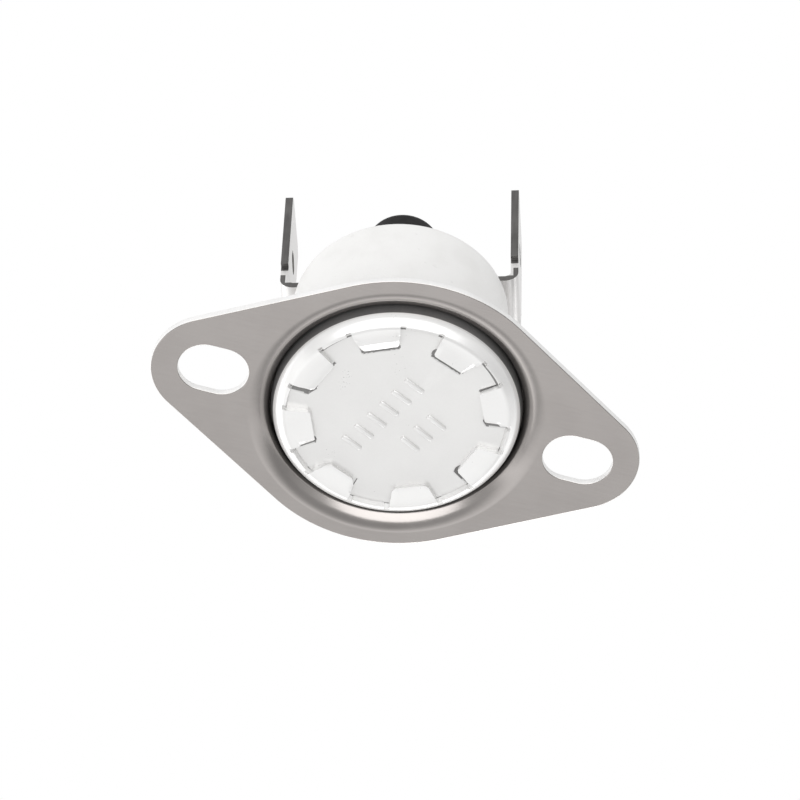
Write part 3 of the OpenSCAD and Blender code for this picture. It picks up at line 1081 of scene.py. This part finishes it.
@dataclass
class SwitchWorks:
    """Contacts of the switch: a leaf that bends at its post, a strip and two contact rivets."""

    fixed_to: float = -3.9
    moves_from: float = -1.6
    cuts: int = 14
    edge_round: float = 0.03

    def build(self) -> None:
        """Builds the leaf, cut across at even steps along its line, and dresses the other parts."""
        line = Side.RIGHT.direction()
        blank = Blank.from_node("contact_arm")
        blank.soften(self.edge_round)
        for cut in range(self.cuts + 1):
            place = self.fixed_to + (self.moves_from - self.fixed_to) * cut / self.cuts
            blank.cut(line * place, line)
        leaf = blank.finish("spring_leaf", [SPRING_BRONZE])
        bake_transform(leaf)
        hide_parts("contact_arm")
        LOG.info("%s bends from housing to arm: %d faces", leaf.name, len(leaf.data.polygons))
        dress_node("contact_strip", SPRING_BRONZE)
        dress_node("fixed_contact", CONTACT_SILVER)
        dress_node("moving_contact", CONTACT_SILVER)


@dataclass(frozen=True)
class SoftBox:
    """A soft studio light that looks at the part from one direction."""

    name: str
    azimuth: float
    elevation: float
    width: float
    height: float
    watts: float
    distance: float = 0.4


def towards(azimuth: float, elevation: float) -> Vector:
    """Gives the direction from the part at an azimuth and an elevation in degrees."""
    a, e = math.radians(azimuth), math.radians(elevation)
    return Vector((math.sin(a) * math.cos(e), -math.cos(a) * math.cos(e), math.sin(e)))


@dataclass
class Studio:
    """Camera, soft light and pale floor."""

    azimuth: float = -14.48
    elevation: float = -53.34
    roll: float = 2.27
    distance: float = 0.31567
    aim: Point = (-0.0000686, -0.0010325, 0.0007568)
    lens: float = 225.0
    clip_start: float = 0.01
    bands: tuple[Span, ...] = (
        (-180, 0.85), (-120, 0.85), (-90, 0.85), (-64, 0.8), (-40, 0.8), (-22, 0.6), (-6, 0.5),
        (8, 0.52), (22, 1.1), (30, 1.45), (36, 0.94), (43, 0.88), (49, 0.55), (55, 0.6), (64, 1.2),
        (78, 2.1), (95, 2.0), (112, 0.95), (140, 1.0), (180, 0.85),
    )
    band_top: float = 2.0
    left_gain: float = 0.2
    floor_gap: float = 0.0001
    floor_size: float = 4.0
    floor_tone: Colour = (0.86, 0.86, 0.86)
    boxes: tuple[SoftBox, ...] = (
        SoftBox("key", -17.0, -51.0, 0.64, 0.3, 0.9),
        SoftBox("low", 157.0, 4.0, 0.22, 0.22, 0.4),
    )

    def aim_from(
        self, obj: Object, azimuth: float, elevation: float, distance: float, roll: float = 0.0
    ) -> None:
        """Stands a camera or a light at an angle and turns it to the aim point.

        Args:
            obj: Camera or light.
            azimuth: Angle round the part in degrees.
            elevation: Angle above the floor in degrees.
            distance: Distance from the aim point in metres.
            roll: Turn about its own line of sight in degrees.
        """
        back = towards(azimuth, elevation)
        turn = (-back).to_track_quat("-Z", "Y").to_matrix().to_4x4()
        place = Matrix.Translation(Vector(self.aim) + back * distance)
        obj.matrix_world = place @ turn @ Matrix.Rotation(math.radians(roll), 4, "Z")

    def build_camera(self) -> None:
        """Makes the camera."""
        data = bpy.data.cameras.new("camera")
        data.lens = self.lens
        data.clip_start = self.clip_start
        camera = bpy.data.objects.new("camera", data)
        bpy.context.scene.collection.objects.link(camera)
        self.aim_from(camera, self.azimuth, self.elevation, self.distance, self.roll)
        bpy.context.scene.camera = camera

    def build_lights(self) -> None:
        """Makes the soft boxes."""
        for box in self.boxes:
            data = bpy.data.lights.new(box.name, "AREA")
            data.shape = "ELLIPSE"
            data.size = box.width
            data.size_y = box.height
            data.energy = box.watts
            light = bpy.data.objects.new(box.name, data)
            light.visible_camera = False
            bpy.context.scene.collection.objects.link(light)
            self.aim_from(light, box.azimuth, box.elevation, box.distance)

    def build_world(self) -> None:
        """Makes a white background, and a light of soft bands that run along X round the part."""
        world = bpy.data.worlds.new("studio")
        world.use_nodes = True
        bpy.context.scene.world = world
        graph = Graph(world.node_tree)
        side = graph.node("ShaderNodeTexCoord", {}, {}, "Generated")
        x, y, z = (graph.node("ShaderNodeSeparateXYZ", {}, {0: side}, axis) for axis in "XYZ")
        turn = graph.node("ShaderNodeMath", {"operation": "ARCTAN2"}, {0: y, 1: -1 * z})
        stops = [(degrees / 360 + 0.5, level / self.band_top) for degrees, level in self.bands]
        bands = graph.node("ShaderNodeValToRGB", {"stops": stops}, {"Fac": turn * (1 / math.tau) + 0.5})
        strength = self.band_top - self.band_top * self.left_gain * x
        lit = graph.node("ShaderNodeBackground", {}, {"Color": bands, "Strength": strength})
        white = graph.node("ShaderNodeBackground", {}, {"Color": (1.0, 1.0, 1.0, 1.0)})
        seen = graph.node("ShaderNodeLightPath", {}, {}, "Is Camera Ray")
        shader = graph.node("ShaderNodeMixShader", {}, {0: seen, 1: lit, 2: white})
        graph.node("ShaderNodeOutputWorld", {}, {"Surface": shader})

    def build_floor(self) -> None:
        """Makes a pale floor that shows from above only, because the camera looks up from under it."""
        blank = Blank()
        bmesh.ops.create_grid(blank.bm, x_segments=2, y_segments=2, size=self.floor_size / 2 / MM)
        bmesh.ops.translate(blank.bm, verts=blank.bm.verts, vec=(0, 0, -self.floor_gap / MM))
        floor = blank.finish("floor", [])
        graph, made = Graph.of_material("pale_floor")
        under = graph.node("ShaderNodeNewGeometry", {}, {}, "Backfacing")
        pale = graph.node("ShaderNodeBsdfDiffuse", {}, {"Color": (*self.floor_tone, 1.0)})
        clear = graph.node("ShaderNodeBsdfTransparent", {}, {})
        shader = graph.node("ShaderNodeMixShader", {}, {0: under, 1: pale, 2: clear})
        graph.node("ShaderNodeOutputMaterial", {}, {"Surface": shader})
        floor.data.materials.append(made)
        floor.visible_diffuse = False
        floor.visible_glossy = False
        floor.visible_transmission = False
        floor.visible_shadow = False

    def build(self) -> None:
        """Builds the studio."""
        self.build_camera()
        self.build_lights()
        self.build_world()
        self.build_floor()
        bpy.context.scene.view_settings.view_transform = "Standard"


def main() -> None:
    """Builds the studio and every piece."""
    logging.basicConfig(level=logging.INFO, format="%(message)s")
    Studio().build()
    CeramicHousing().build()
    CrimpedHead().build()
    LooseFlange().build()
    for side in Side:
        BladeTerminal(side).build()
    SwitchWorks().build()


if __name__ == "__main__":
    main()
